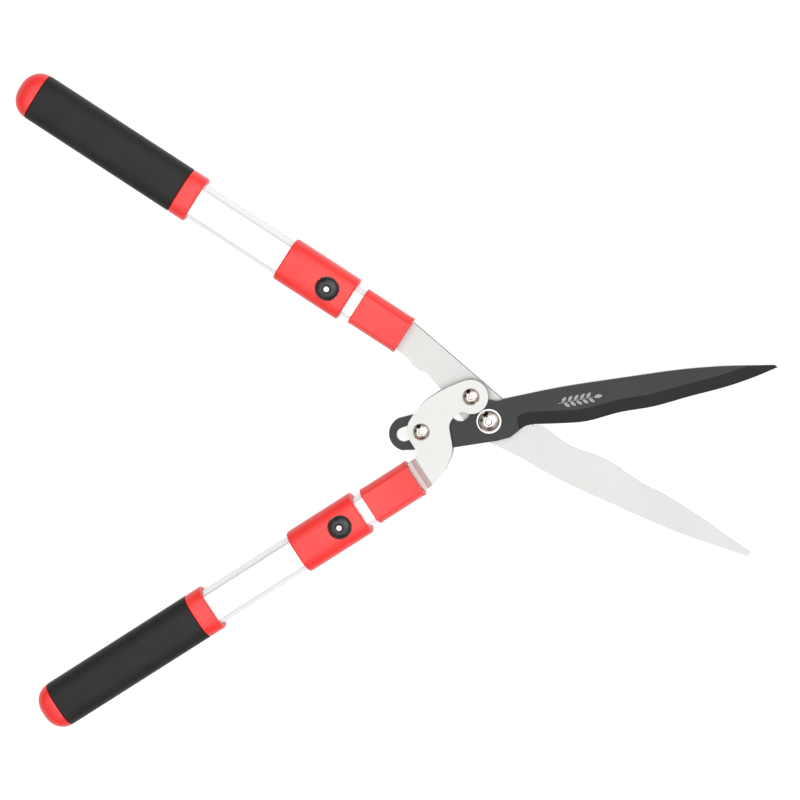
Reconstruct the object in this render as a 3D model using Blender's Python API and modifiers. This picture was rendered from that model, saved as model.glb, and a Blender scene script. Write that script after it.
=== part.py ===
"""Telescoping compound-action hedge shears, lying flat with the blades towards +X.

The origin is the end face of the main pivot bolt, on the ground. Every length below is in
millimetres, and MM turns it into metres where a mesh is made. The upper blade's arm is the fixed
body. A lever made of two plates turns on that arm and drives the dark blade through a slot. Each
blade carries a telescoping handle with a sprung lock button.
"""

import math

import bmesh
import bpy
from mathutils import Matrix

MM = 0.001
OBJECT_NAME = "hedge_shears"

# Stack of plates, as heights above the ground.
MID_Z = 14.0
GAP = 0.3
BLADE_THICK = 4.0
LEVER_THICK = 2.5
SILVER_LOW = 9.85
SILVER_HIGH = SILVER_LOW + BLADE_THICK
DARK_LOW = SILVER_HIGH + GAP
DARK_HIGH = DARK_LOW + BLADE_THICK
FRONT_PLATE_LOW = DARK_HIGH + GAP
FRONT_PLATE_HIGH = FRONT_PLATE_LOW + LEVER_THICK
BACK_PLATE_HIGH = SILVER_LOW - GAP
BACK_PLATE_LOW = BACK_PLATE_HIGH - LEVER_THICK

# Pivots, seen from above. The main pivot is at the origin.
LEVER_PIVOT = (-14.3, 19.6)
SLOT_PIN = (-54.2, -9.3)
CLOSE_ANGLE = 51.0
OPEN_ANGLE = 40.0
BLADE_RATIO = 37.8 / 51.0

# Blades. Each is laid out along its own axis: s from pivot to tip, n towards its back.
BLADE_LENGTH = 233.2
DARK_ANGLE = 11.6
SILVER_ANGLE = -26.2
BEVEL_WIDTH = 10.6
EDGE_LAND = 0.8
DARK_EDGE = [(22.5, -11.6), (31, -9.2), (52, -12.1), (76, -14.8), (104, -12.6), (131, -13.0),
             (160, -10.4), (190, -8.2), (214, -4.6), (BLADE_LENGTH, -0.4)]
DARK_BACK = [(231, 1.9), (210, 5.6), (187, 9.2), (155, 12.4), (108, 14.6), (60, 16.1), (14.3, 15.3)]
SILVER_EDGE = [(33, -12.2), (41.5, -14.7), (67, -11.1), (97, -14.3), (130, -10.5), (153, -10.3),
               (190, -6.6), (212, -3.0), (BLADE_LENGTH, -0.5)]
SILVER_BACK = [(232, 3.5), (222, 5.1), (200, 8.2), (174, 11.8), (140, 14.2), (105, 15.9), (70, 17.1),
               (34, 15.6), (7.3, 15.9)]
HUB_RADIUS = 16.7
SPACER_RADIUS = 7.3
SEAT_RADIUS = SPACER_RADIUS + GAP
FULL_OPEN_SEAT_ANGLE = 64.3
EYE_CENTRE = (-67.5, 2.3)
EYE_RADIUS = 13.8
ROLLER_RADIUS = 5.4
BUMPER_RADIUS = 8.8

# Fasteners.
MAIN_SHANK = 4.0
SMALL_SHANK = 3.0
MAIN_HEAD = 8.8
SMALL_HEAD = 6.7
WASHER_RADIUS = 10.1
WASHER_THICK = 1.2
HEX = 6

# Handles. Each is laid out from its front sleeve: x outwards, y sideways, z from its middle plane.
UPPER_ORIGIN = (-68.5, 67.1)
UPPER_ANGLE = 147.5
LOWER_ORIGIN = (-59.3, -47.3)
LOWER_ANGLE = 213.4
TANG_HALF = 9.5
TANG_END = 42.0
SHOULDER_X = -0.4
RIVET_X = (15.0, 32.0)
RIVET_RADIUS = 2.0
SIDE_CENTRE = 1.8
WALL = 1.2
SLEEVE_BACK = 44.0
SLEEVE_HALF = 16.0
SLEEVE_TOP = 10.6
INNER_HALF = 13.4
INNER_TOP = 8.4
INNER_FRONT = 3.3
INNER_BACK = 290.0
OUTER_HALF = 15.7
OUTER_TOP = 10.5
OUTER_FRONT = 54.6
OUTER_BACK = 350.0
HOUSING_FRONT = 52.5
HOUSING_BACK = 113.6
HOUSING_HALF = 18.5
COLLAR_FRONT = 198.0
COLLAR_BACK = 213.0
GRIP_HALF = 19.4
CAP_BACK = 366.6

# Sprung lock.
LOCK_X = 71.5
LOCK_PITCH = 30.0
LOCK_HOLES = 7
BUTTON_RADIUS = 9.8
PIN_NECK = 1.7
PIN_FOOT = 4.1
SPRING_LOW = 10.95
SPRING_HIGH = 15.6

RING_STEPS = 10
ROUND_STEPS = 24


def clear_scene():
    for obj in list(bpy.data.objects):
        bpy.data.objects.remove(obj, do_unlink=True)


def make_collection(name, parent=None):
    made = bpy.data.collections.new(name)
    (parent or bpy.context.scene.collection).children.link(made)
    return made


def make_material(name, colour, roughness, metallic=0.0):
    made = bpy.data.materials.new(name)
    made.use_nodes = True
    shader = made.node_tree.nodes["Principled BSDF"]
    shader.inputs["Base Color"].default_value = (*colour, 1.0)
    shader.inputs["Roughness"].default_value = roughness
    shader.inputs["Metallic"].default_value = metallic
    return made


def make_empty(name, x, y, z, angle=0.0, parent=None):
    made = bpy.data.objects.new(name, None)
    made.location = (x * MM, y * MM, z * MM)
    made.rotation_euler = (0, 0, math.radians(angle))
    made.parent = parent
    bpy.context.scene.collection.objects.link(made)
    return made


def add_object(name, mesh, look, parent):
    """Puts a mesh in the scene as a part or, with no look, as a hidden cutter."""
    made = bpy.data.objects.new(name, mesh)
    made.parent = parent
    if look is None:
        CUTTERS.objects.link(made)
        made.hide_render = True
        made.display_type = "WIRE"
        return made
    PARTS.objects.link(made)
    mesh.materials.append(look)
    if mesh.polygons:
        mesh.shade_smooth()
        mesh.set_sharp_from_angle(angle=math.radians(30))
    return made


# ---- outlines -------------------------------------------------------------------------------


def arc(centre, radius, start, end, steps):
    """Points on a circle from one angle to another, both in degrees."""
    angles = [math.radians(start + (end - start) * i / steps) for i in range(steps + 1)]
    return [(centre[0] + radius * math.cos(a), centre[1] + radius * math.sin(a)) for a in angles]


def circle(centre, radius, steps=ROUND_STEPS):
    return arc(centre, radius, 0, 360, steps)[:-1]


def smooth(knots, steps=4):
    """A Catmull-Rom curve through the knots."""
    padded = [knots[0], *knots, knots[-1]]
    points = []
    for a, b, c, d in zip(padded, padded[1:], padded[2:], padded[3:]):
        for i in range(steps):
            t = i / steps
            points.append(tuple(
                0.5 * (2 * q + (r - p) * t + (2 * p - 5 * q + 4 * r - s) * t * t
                       + (3 * q - p - 3 * r + s) * t ** 3)
                for p, q, r, s in zip(a, b, c, d)))
    return [*points, knots[-1]]


def rotated(point, angle, about=(0.0, 0.0)):
    a = math.radians(angle)
    x = point[0] - about[0]
    y = point[1] - about[1]
    return (about[0] + x * math.cos(a) - y * math.sin(a), about[1] + x * math.sin(a) + y * math.cos(a))


def placed(points, origin, angle):
    """Points of a turned frame, in the frame that holds its origin."""
    moved = [rotated(point, angle) for point in points]
    return [(origin[0] + x, origin[1] + y) for x, y in moved]


def minus(a, b):
    return (a[0] - b[0], a[1] - b[1])


def from_blade(points, angle, side):
    """Points (s, n) of a blade, with side +1 where its back faces +n and -1 where it is mirrored."""
    return [rotated((s, n * side), angle) for s, n in points]


# ---- solids ---------------------------------------------------------------------------------


def plate(name, loops, low, high, look, parent=None):
    """A flat plate: the first loop is its outline and the others are holes."""
    curve = bpy.data.curves.new(name, "CURVE")
    curve.dimensions = "2D"
    curve.fill_mode = "BOTH"
    curve.extrude = (high - low) / 2 * MM
    for loop in loops:
        spline = curve.splines.new("POLY")
        spline.points.add(len(loop) - 1)
        for point, (x, y) in zip(spline.points, loop):
            point.co = (x * MM, y * MM, 0, 1)
        spline.use_cyclic_u = True
    return solid_from_curve(name, curve, look, parent, (low + high) / 2 * MM)


def solid_from_curve(name, curve, look, parent, lift=0.0):
    guide = bpy.data.objects.new(name + "_guide", curve)
    bpy.context.scene.collection.objects.link(guide)
    guide.location.z = lift
    graph = bpy.context.evaluated_depsgraph_get()
    mesh = bpy.data.meshes.new_from_object(guide.evaluated_get(graph))
    mesh.transform(Matrix.Translation((0, 0, lift)))
    bpy.data.objects.remove(guide)
    bm = bmesh.new()
    bm.from_mesh(mesh)
    bmesh.ops.remove_doubles(bm, verts=bm.verts, dist=1e-6)
    bmesh.ops.recalc_face_normals(bm, faces=bm.faces)
    bm.to_mesh(mesh)
    bm.free()
    mesh.materials.clear()
    return add_object(name, mesh, look, parent)


def turned(name, profile, centre, look, parent=None, ring=False, steps=ROUND_STEPS):
    """A turned piece from (radius, z) points that run down its outer side; a ring's profile closes."""
    mesh = bpy.data.meshes.new(name)
    edges = [(i, i + 1) for i in range(len(profile) - 1)]
    if ring:
        edges.append((len(profile) - 1, 0))
    mesh.from_pydata([(r * MM, 0, z * MM) for r, z in profile], edges, [])
    made = add_object(name, mesh, look, parent)
    made.location = (centre[0] * MM, centre[1] * MM, 0)
    screw = made.modifiers.new("Turn", "SCREW")
    screw.steps = steps
    screw.render_steps = steps
    screw.use_merge_vertices = True
    screw.merge_threshold = 1e-6
    screw.use_smooth_shade = False
    return made


def loft(name, rings, look, parent=None, hollow=False):
    """Skins rings of equal count: capped at both ends, or closed back to the first if hollow."""
    bm = bmesh.new()
    rows = [[bm.verts.new((x * MM, y * MM, z * MM)) for x, y, z in ring] for ring in rings]
    pairs = list(zip(rows, rows[1:]))
    if hollow:
        pairs.append((rows[-1], rows[0]))
    else:
        bm.faces.new(rows[0])
        bm.faces.new(rows[-1])
    for first, second in pairs:
        for i in range(len(first)):
            j = (i + 1) % len(first)
            bm.faces.new((first[i], first[j], second[j], second[i]))
    bmesh.ops.recalc_face_normals(bm, faces=bm.faces)
    if bm.calc_volume(signed=True) < 0:
        bmesh.ops.reverse_faces(bm, faces=bm.faces)
    mesh = bpy.data.meshes.new(name)
    bm.to_mesh(mesh)
    bm.free()
    return add_object(name, mesh, look, parent)


def cut(piece, *cutters):
    for cutter in cutters:
        boolean = piece.modifiers.new(cutter.name, "BOOLEAN")
        boolean.operation = "DIFFERENCE"
        boolean.solver = "EXACT"
        boolean.object = cutter


def drill(name, centre, radius, low, high, parent=None, sides=16):
    """A round cutter, or a hexagonal one with six sides."""
    bm = bmesh.new()
    bmesh.ops.create_cone(bm, cap_ends=True, segments=sides, radius1=radius * MM, radius2=radius * MM,
                          depth=(high - low) * MM,
                          matrix=Matrix.Translation((0, 0, (low + high) / 2 * MM)))
    mesh = bpy.data.meshes.new(name)
    bm.to_mesh(mesh)
    bm.free()
    made = add_object(name, mesh, None, parent)
    made.location = (centre[0] * MM, centre[1] * MM, 0)
    return made


def box_cutter(name, low, high, parent=None):
    bm = bmesh.new()
    bmesh.ops.create_cube(bm, size=1.0)
    for vert in bm.verts:
        vert.co = [(b if v > 0 else a) * MM for v, a, b in zip(vert.co, low, high)]
    mesh = bpy.data.meshes.new(name)
    bm.to_mesh(mesh)
    bm.free()
    return add_object(name, mesh, None, parent)


# ---- blades ---------------------------------------------------------------------------------


def pin_path(steps=14):
    """The slot pin's way through the dark blade, from wide open to closed, in that blade at rest."""
    path = []
    for i in range(steps + 1):
        closing = -OPEN_ANGLE + (CLOSE_ANGLE + OPEN_ANGLE) * i / steps
        pin = rotated(SLOT_PIN, -closing, LEVER_PIVOT)
        path.append(rotated(pin, closing * BLADE_RATIO))
    return path


def half_turn(centre, start_point, radius):
    """The inner points of a clockwise half circle from a point round a centre."""
    start = math.degrees(math.atan2(start_point[1] - centre[1], start_point[0] - centre[0]))
    return arc(centre, radius, start, start - 180, 8)[1:-1]


def slot_outline(path, half_width):
    """A slot of even width along a path, with round ends."""
    left = []
    right = []
    for i, (x, y) in enumerate(path):
        before = path[max(i - 1, 0)]
        after = path[min(i + 1, len(path) - 1)]
        length = math.dist(before, after)
        nx = -(after[1] - before[1]) / length * half_width
        ny = (after[0] - before[0]) / length * half_width
        left.append((x + nx, y + ny))
        right.append((x - nx, y - ny))
    far_end = half_turn(path[-1], left[-1], half_width)
    near_end = half_turn(path[0], right[0], half_width)
    return [*left, *far_end, *reversed(right), *near_end]


def bevel_cutter(name, edge, angle, side, flat_z, up):
    """Removes the wedge over a cutting edge: up is +1 for a bevel on top and -1 for one below."""
    beyond = 4.0
    slope = (BLADE_THICK - EDGE_LAND) / BEVEL_WIDTH
    last = edge[-1]
    stations = [(s, n) for s, n in edge if s >= edge[0][0]] + [(last[0] + beyond, last[1])]
    rings = []
    for s, n in stations:
        outside = (n - beyond, flat_z + up * (EDGE_LAND - beyond * slope))
        inside = (n + BEVEL_WIDTH + beyond, flat_z + up * (BLADE_THICK + beyond * slope))
        far = flat_z + up * (BLADE_THICK + 2 * beyond)
        corners = [outside, inside, (inside[0], far), (outside[0], far)]
        rings.append([(*rotated((s, c * side), angle), z) for c, z in corners])
    return loft(name, rings, None)


def make_dark_blade():
    edge = smooth(DARK_EDGE)
    lever_seat = math.degrees(math.atan2(LEVER_PIVOT[1], LEVER_PIVOT[0]))
    closed_seat = lever_seat + CLOSE_ANGLE * BLADE_RATIO - DARK_ANGLE
    reach = math.hypot(*LEVER_PIVOT)
    closed_centre = rotated((reach, 0), closed_seat)
    open_centre = rotated((reach, 0), FULL_OPEN_SEAT_ANGLE)
    outline = [
        *smooth(DARK_BACK),
        *arc(open_centre, SEAT_RADIUS, -62, FULL_OPEN_SEAT_ANGLE - 180, 4)[1:],
        *arc((0, 0), HUB_RADIUS, FULL_OPEN_SEAT_ANGLE + 2, closed_seat - 2, 10),
        *arc(closed_centre, SEAT_RADIUS, closed_seat - 180, -180, 10),
        (-58.4, 16.4),
        *arc(EYE_CENTRE, EYE_RADIUS, 105, 245, 14),
        (-62.4, -11.9), (-33.5, -15.6), (2.8, -16.8), (13.9, -16.0),
        *edge,
    ]
    hole = circle((0, 0), MAIN_SHANK + GAP)
    slot = slot_outline(pin_path(), ROLLER_RADIUS + GAP)
    blade = plate("dark_cutting_blade", [from_blade(outline, DARK_ANGLE, 1), hole, slot],
                  DARK_LOW, DARK_HIGH, LOOKS["coated"])
    cut(blade, bevel_cutter("dark_bevel", edge, DARK_ANGLE, 1, DARK_LOW, 1))


def make_silver_blade():
    """The fixed blade: cutting part, arm and handle tang in one plate."""
    edge = smooth(SILVER_EDGE)
    tang = [(SHOULDER_X, 12.6), (SHOULDER_X, TANG_HALF), (TANG_END, TANG_HALF), (TANG_END, -TANG_HALF),
            (SHOULDER_X, -TANG_HALF), (SHOULDER_X, -12.4)]
    stop_pad = [(-39.2, 24.7), (-51.3, 38.0), (-55.3, 39.1), (-61.7, 43.1), (-63.3, 47.0)]
    outline = [
        *from_blade(smooth(SILVER_BACK), SILVER_ANGLE, -1),
        (-12.0, -12.3), (-20.5, -0.5),
        *stop_pad,
        *placed(tang, UPPER_ORIGIN, UPPER_ANGLE),
        (-60.6, 77.2),
        *from_blade(edge, SILVER_ANGLE, -1),
    ]
    holes = [circle((0, 0), MAIN_SHANK + GAP), circle(LEVER_PIVOT, SMALL_SHANK + GAP)]
    holes += [circle(placed([(x, 0)], UPPER_ORIGIN, UPPER_ANGLE)[0], RIVET_RADIUS + GAP, 16)
              for x in RIVET_X]
    blade = plate("silver_blade", [outline, *holes], SILVER_LOW, SILVER_HIGH, LOOKS["steel"])
    cut(blade, bevel_cutter("silver_bevel", edge, SILVER_ANGLE, -1, SILVER_HIGH, -1))


# ---- lever ----------------------------------------------------------------------------------


def make_lever_plate(name, low, drop, parent):
    """One lever plate, bent by drop so that both plates meet in the handle. From the lever pivot."""
    handle = minus(LOWER_ORIGIN, LEVER_PIVOT)
    outer = smooth([(-1.2, 13.85), (-8.4, 11.8), (-23.2, 5.0), (-37.0, -4.4), (-45.3, -13.8),
                    (-50.8, -23.5), (-50.8, -32.5), (-45.6, -41.4), (-42.6, -47.6)])
    neck = [(-6.9, -12.9), (SHOULDER_X, -12.9), (SHOULDER_X, -TANG_HALF), (TANG_END, -TANG_HALF),
            (TANG_END, TANG_HALF), (SHOULDER_X, TANG_HALF), (SHOULDER_X, 12.3), (-6.9, 12.3)]
    inner = smooth([(-21.2, -60.7), (-16.4, -50.4), (-14.8, -41.1), (-16.6, -30.0), (-17.1, -22.5),
                    (-13.0, -15.6), (-7.0, -12.4), (-1.2, -13.85)])
    outline = [*arc((0, 0), 13.9, -90, 90, 16)[1:-1], *outer, *placed(neck, handle, LOWER_ANGLE), *inner]
    holes = [circle((0, 0), SMALL_SHANK + GAP),
             circle(minus(SLOT_PIN, LEVER_PIVOT), SMALL_SHANK + GAP)]
    holes += [circle(placed([(x, 0)], handle, LOWER_ANGLE)[0], RIVET_RADIUS + GAP, 16) for x in RIVET_X]
    made = plate(name, [outline, *holes], low, low + LEVER_THICK, LOOKS["steel"], parent)
    bend_start = -9.5
    bend_end = -3.9
    out = rotated((1, 0), LOWER_ANGLE)
    bm = bmesh.new()
    bm.from_mesh(made.data)
    for x in (bend_start, bend_end):
        at = placed([(x, 0)], handle, LOWER_ANGLE)[0]
        bmesh.ops.bisect_plane(bm, geom=[*bm.verts, *bm.edges, *bm.faces], dist=1e-7,
                               plane_co=(at[0] * MM, at[1] * MM, 0), plane_no=(*out, 0))
    for vert in bm.verts:
        x = (vert.co.x / MM - handle[0]) * out[0] + (vert.co.y / MM - handle[1]) * out[1]
        share = min(max((x - bend_start) / (bend_end - bend_start), 0), 1)
        vert.co.z -= drop * share * MM
    bm.to_mesh(made.data)
    bm.free()
    return made


# ---- fasteners ------------------------------------------------------------------------------


def make_bolt(name, centre, head, shank, head_low, end_z, socket, parent=None):
    """A round-headed bolt with a hexagon socket, from its dome down to its flat end."""
    rim = 0.5
    height = head * 0.52
    dome = [(head * math.cos(a), head_low + rim + (height - rim) * math.sin(a))
            for a in (math.radians(19 * i) for i in range(4, -1, -1))]
    profile = [(0, head_low + height), *dome, (head, head_low), (shank, head_low), (shank, end_z), (0, end_z)]
    bolt = turned(name, profile, centre, LOOKS["bright"], parent)
    hexagon = drill(name + "_socket", centre, socket, head_low + height * 0.35, head_low + height + 2,
                    parent, HEX)
    cut(bolt, hexagon)


def make_nut(name, centre, shank, across, low, high, parent=None):
    corner = across / math.sqrt(3)
    plate_loops = [circle(centre, corner, HEX), circle(centre, shank + GAP, 20)]
    plate(name, plate_loops, low, high, LOOKS["bright"], parent)


def make_ring(name, centre, inside, outside, low, high, look, parent=None):
    profile = [(inside, high), (outside, high), (outside, low), (inside, low)]
    turned(name, profile, centre, look, parent, ring=True)


def make_fasteners(lever):
    main = (0.0, 0.0)
    washer_low = DARK_HIGH + GAP
    make_ring("pivot_washer_front", main, MAIN_SHANK + GAP, WASHER_RADIUS, washer_low,
              washer_low + WASHER_THICK, LOOKS["bright"])
    make_bolt("pivot_bolt", main, MAIN_HEAD, MAIN_SHANK, washer_low + WASHER_THICK + GAP, 0.0, 2.9)
    rear_low = SILVER_LOW - GAP - WASHER_THICK
    make_ring("pivot_washer_rear", main, MAIN_SHANK + GAP, 8.4, rear_low, rear_low + WASHER_THICK,
              LOOKS["bright"])
    make_nut("pivot_nut", main, MAIN_SHANK, 13.0, 0.7, rear_low - GAP)

    head_low = FRONT_PLATE_HIGH + GAP
    nut_high = BACK_PLATE_LOW - GAP
    make_bolt("lever_pivot_bolt", LEVER_PIVOT, SMALL_HEAD, SMALL_SHANK, head_low, 0.6, 2.3)
    make_ring("lever_pivot_spacer", LEVER_PIVOT, SMALL_SHANK + GAP, SPACER_RADIUS, DARK_LOW, DARK_HIGH,
              LOOKS["steel"])
    make_nut("lever_pivot_nut", LEVER_PIVOT, SMALL_SHANK, 10.0, 1.3, nut_high)

    pin = minus(SLOT_PIN, LEVER_PIVOT)
    make_bolt("slot_bolt", pin, SMALL_HEAD, SMALL_SHANK, head_low, 0.6, 2.3, lever)
    make_ring("slot_roller", pin, SMALL_SHANK + GAP, ROLLER_RADIUS, DARK_LOW, DARK_HIGH,
              LOOKS["steel"], lever)
    make_ring("slot_bumper", pin, SMALL_SHANK + GAP, BUMPER_RADIUS, SILVER_LOW, SILVER_HIGH,
              LOOKS["rubber"], lever)
    make_nut("slot_nut", pin, SMALL_SHANK, 10.0, 1.3, nut_high, lever)


# ---- handles --------------------------------------------------------------------------------


def tube_ring(x, half, top):
    """A handle section: flat above and below, with each side one arc."""
    radius = half - SIDE_CENTRE
    sweep = math.degrees(math.asin(top / radius))
    right = arc((SIDE_CENTRE, 0), radius, -sweep, sweep, RING_STEPS)
    return [(x, y, z) for y, z in [*right, *[(-y, z) for y, z in reversed(right)]]]


def oval_ring(x, half, top):
    """A rounder section, for the moulded parts that a hand or thumb holds."""
    limit = 72
    fill = 0.74
    full = math.sin(math.radians(limit)) ** fill
    right = []
    for i in range(RING_STEPS + 1):
        a = math.radians(-limit + 2 * limit * i / RING_STEPS)
        z = math.copysign(abs(math.sin(a)) ** fill, a) / full
        right.append((half * math.cos(a) ** fill, top * z))
    return [(x, y, z) for y, z in [*right, *[(-y, z) for y, z in reversed(right)]]]


def rounded_rings(ring, front, back, half, top, radius, steps=3):
    """Outer rings from front to back, drawn in at both ends by a quarter round."""
    rings = []
    for i in range(steps + 1):
        a = math.radians(90 * i / steps)
        inset = radius * (1 - math.sin(a))
        rings.append(ring(front + radius * (1 - math.cos(a)), half - inset, top - inset))
    for i in range(steps + 1):
        a = math.radians(90 * (1 - i / steps))
        inset = radius * (1 - math.sin(a))
        rings.append(ring(back - radius * (1 - math.cos(a)), half - inset, top - inset))
    return rings


def make_sleeve(side, axis, tang_low, tang_high):
    rings = rounded_rings(tube_ring, 0, SLEEVE_BACK, SLEEVE_HALF, SLEEVE_TOP, 1.0, 2)
    rings += [tube_ring(SLEEVE_BACK, INNER_HALF + GAP, INNER_TOP + GAP),
              tube_ring(INNER_FRONT - GAP, INNER_HALF + GAP, INNER_TOP + GAP)]
    sleeve = loft(side + "_front_sleeve", rings, LOOKS["red"], axis)
    mouth = box_cutter(side + "_sleeve_mouth", (-5, -TANG_HALF - GAP, tang_low - GAP),
                       (INNER_FRONT + 1, TANG_HALF + GAP, tang_high + GAP), axis)
    cut(sleeve, mouth)


def make_tang_insert(side, axis, tang_low, tang_high):
    """Moulded filler between tang and tube."""
    half = INNER_HALF - WALL - GAP
    top = INNER_TOP - WALL - GAP
    rings = [tube_ring(INNER_FRONT, half, top), tube_ring(TANG_END + 4, half, top)]
    insert = loft(side + "_tang_insert", rings, LOOKS["black"], axis)
    pocket = box_cutter(side + "_insert_pocket", (-5, -TANG_HALF - GAP, tang_low - GAP),
                        (TANG_END + GAP, TANG_HALF + GAP, tang_high + GAP), axis)
    drills = [drill(f"{side}_insert_hole_{i}", (x, 0), RIVET_RADIUS + GAP, -20, 20, axis)
              for i, x in enumerate(RIVET_X, 1)]
    cut(insert, pocket, *drills)


def make_rivets(side, axis):
    """Flush rivets, countersunk in both walls of the tube."""
    flush = RIVET_RADIUS + WALL
    profile = [(0, INNER_TOP), (flush, INNER_TOP), (RIVET_RADIUS, INNER_TOP - WALL),
               (RIVET_RADIUS, WALL - INNER_TOP), (flush, -INNER_TOP), (0, -INNER_TOP)]
    for x, place in zip(RIVET_X, ("front", "rear")):
        turned(f"{side}_tang_rivet_{place}", profile, (x, 0), LOOKS["bright"], axis, steps=16)


def hollow_tube(name, front, back, half, top, look, axis):
    rings = [tube_ring(front, half, top), tube_ring(back, half, top),
             tube_ring(back, half - WALL, top - WALL), tube_ring(front, half - WALL, top - WALL)]
    return loft(name, rings, look, axis, hollow=True)


def make_inner_tube(side, axis):
    """The inner tube, with a keyhole slot: the neck of the pin slides, and its foot locks in a hole."""
    tube = hollow_tube(side + "_inner_tube", INNER_FRONT, INNER_BACK, INNER_HALF, INNER_TOP,
                       LOOKS["aluminium"], axis)
    wall_low = INNER_TOP - WALL - 1
    last = LOCK_X + LOCK_PITCH * (LOCK_HOLES - 1)
    slot_half = PIN_NECK + 0.5
    slot = box_cutter(side + "_lock_slot", (LOCK_X, -slot_half, wall_low), (last, slot_half, INNER_TOP + 1), axis)
    cutters = [slot]
    for i in range(LOCK_HOLES):
        cutters.append(drill(f"{side}_lock_hole_{i + 1}", (LOCK_X + LOCK_PITCH * i, 0), PIN_FOOT + 0.4,
                             wall_low, INNER_TOP + 1, axis, 12))
    reach = RIVET_RADIUS + GAP
    sink = [(0, INNER_TOP + 1), (reach + WALL + 1, INNER_TOP + 1), (reach, INNER_TOP - WALL),
            (reach, WALL - INNER_TOP), (reach + WALL + 1, -INNER_TOP - 1), (0, -INNER_TOP - 1)]
    for i, x in enumerate(RIVET_X, 1):
        cutters.append(turned(f"{side}_rivet_sink_{i}", sink, (x, 0), None, axis, steps=16))
    cut(tube, *cutters)


def make_guide_bush(side, axis):
    """Plastic bush on the inner tube's far end, a sliding fit in the outer tube."""
    spigot = (INNER_HALF - WALL - GAP, INNER_TOP - WALL - GAP)
    flange = (OUTER_HALF - WALL - GAP, OUTER_TOP - WALL - GAP)
    rings = [tube_ring(INNER_BACK - 12, *spigot), tube_ring(INNER_BACK + GAP, *spigot),
             tube_ring(INNER_BACK + GAP, *flange), tube_ring(INNER_BACK + 7, *flange)]
    loft(side + "_guide_bush", rings, LOOKS["black"], axis)


def make_outer_tube(side, axis):
    tube = hollow_tube(side + "_outer_tube", OUTER_FRONT, OUTER_BACK, OUTER_HALF, OUTER_TOP,
                       LOOKS["aluminium"], axis)
    cut(tube, drill(side + "_pin_hole", (LOCK_X, 0), PIN_NECK + 0.4, OUTER_TOP - WALL - 0.5, OUTER_TOP + 1, axis),
        drill(side + "_screw_hole", (HOUSING_BACK - 16, 0), 1.6, -OUTER_TOP - 1, WALL + 0.4 - OUTER_TOP, axis))


def make_housing(side, axis):
    rings = rounded_rings(oval_ring, HOUSING_FRONT, HOUSING_BACK, HOUSING_HALF, MID_Z, 1.6, 2)
    rings += [tube_ring(HOUSING_BACK, OUTER_HALF + GAP, OUTER_TOP + GAP),
              tube_ring(OUTER_FRONT - GAP, OUTER_HALF + GAP, OUTER_TOP + GAP),
              tube_ring(OUTER_FRONT - GAP, INNER_HALF + 0.4, INNER_TOP + 0.4),
              tube_ring(HOUSING_FRONT, INNER_HALF + 0.4, INNER_TOP + 0.4)]
    housing = loft(side + "_lock_housing", rings, LOOKS["red"], axis, hollow=True)
    screw_x = HOUSING_BACK - 16
    well = drill(side + "_button_well", (LOCK_X, 0), BUTTON_RADIUS + GAP, OUTER_TOP - 0.5, MID_Z + 3, axis, 28)
    sink = [(0, -OUTER_TOP + 1), (1.6, -OUTER_TOP + 1), (1.6, -MID_Z + 2.2), (3.9, -MID_Z - 0.1),
            (3.9, -MID_Z - 1), (0, -MID_Z - 1)]
    cut(housing, well, turned(side + "_screw_sink", sink, (screw_x, 0), None, axis, steps=16))
    screw = [(0, -OUTER_TOP + WALL + GAP), (1.3, -OUTER_TOP + WALL + GAP), (1.3, -MID_Z + 2.0),
             (3.0, -MID_Z + 0.6), (0, -MID_Z + 0.6)]
    turned(side + "_housing_screw", screw, (screw_x, 0), LOOKS["bright"], axis, steps=16)


def make_lock(side, axis):
    """Button, pin and return spring, on the axis of the button's travel."""
    centre = make_empty(side + "_lock_axis", LOCK_X, 0, 0, 0, axis)
    rim = MID_Z + GAP
    rise = 3.9
    dome = [(BUTTON_RADIUS * math.cos(a), rim + rise * math.sin(a))
            for a in (math.radians(18 * i) for i in range(4, -1, -1))]
    top = rim + rise * math.sin(math.radians(72))
    bore = PIN_NECK + GAP
    sink = 2.2 + GAP
    profile = [(sink, top + 0.1), *dome, (BUTTON_RADIUS, rim - 0.5), (7.2, rim - 0.5), (7.2, 16.0),
               (bore, 16.0), (bore, top - 1.1), (sink, top - 1.1)]
    turned(side + "_lock_button", profile, (0, 0), LOOKS["black"], centre, ring=True)
    foot_high = 8.9
    foot_low = 6.4
    pin = [(0, top + 0.3), (1.6, top + 0.3), (2.2, top), (2.2, top - 0.8), (PIN_NECK, top - 0.8),
           (PIN_NECK, foot_high), (PIN_FOOT, foot_high), (PIN_FOOT, foot_low), (0, foot_low)]
    turned(side + "_lock_pin", pin, (0, 0), LOOKS["bright"], centre, steps=16)

    turns = 2.5
    wire = 0.35
    per_turn = 12
    count = int(turns * per_turn)
    curve = bpy.data.curves.new(side + "_lock_spring", "CURVE")
    curve.dimensions = "3D"
    curve.bevel_depth = wire * MM
    curve.bevel_resolution = 1
    curve.use_fill_caps = True
    spline = curve.splines.new("POLY")
    spline.points.add(count)
    for i, point in enumerate(spline.points):
        a = 2 * math.pi * i / per_turn
        z = SPRING_LOW + wire + (SPRING_HIGH - SPRING_LOW - 2 * wire) * i / count
        point.co = (5.0 * math.cos(a) * MM, 5.0 * math.sin(a) * MM, z * MM, 1)
    solid_from_curve(side + "_lock_spring", curve, LOOKS["bright"], centre)


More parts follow.
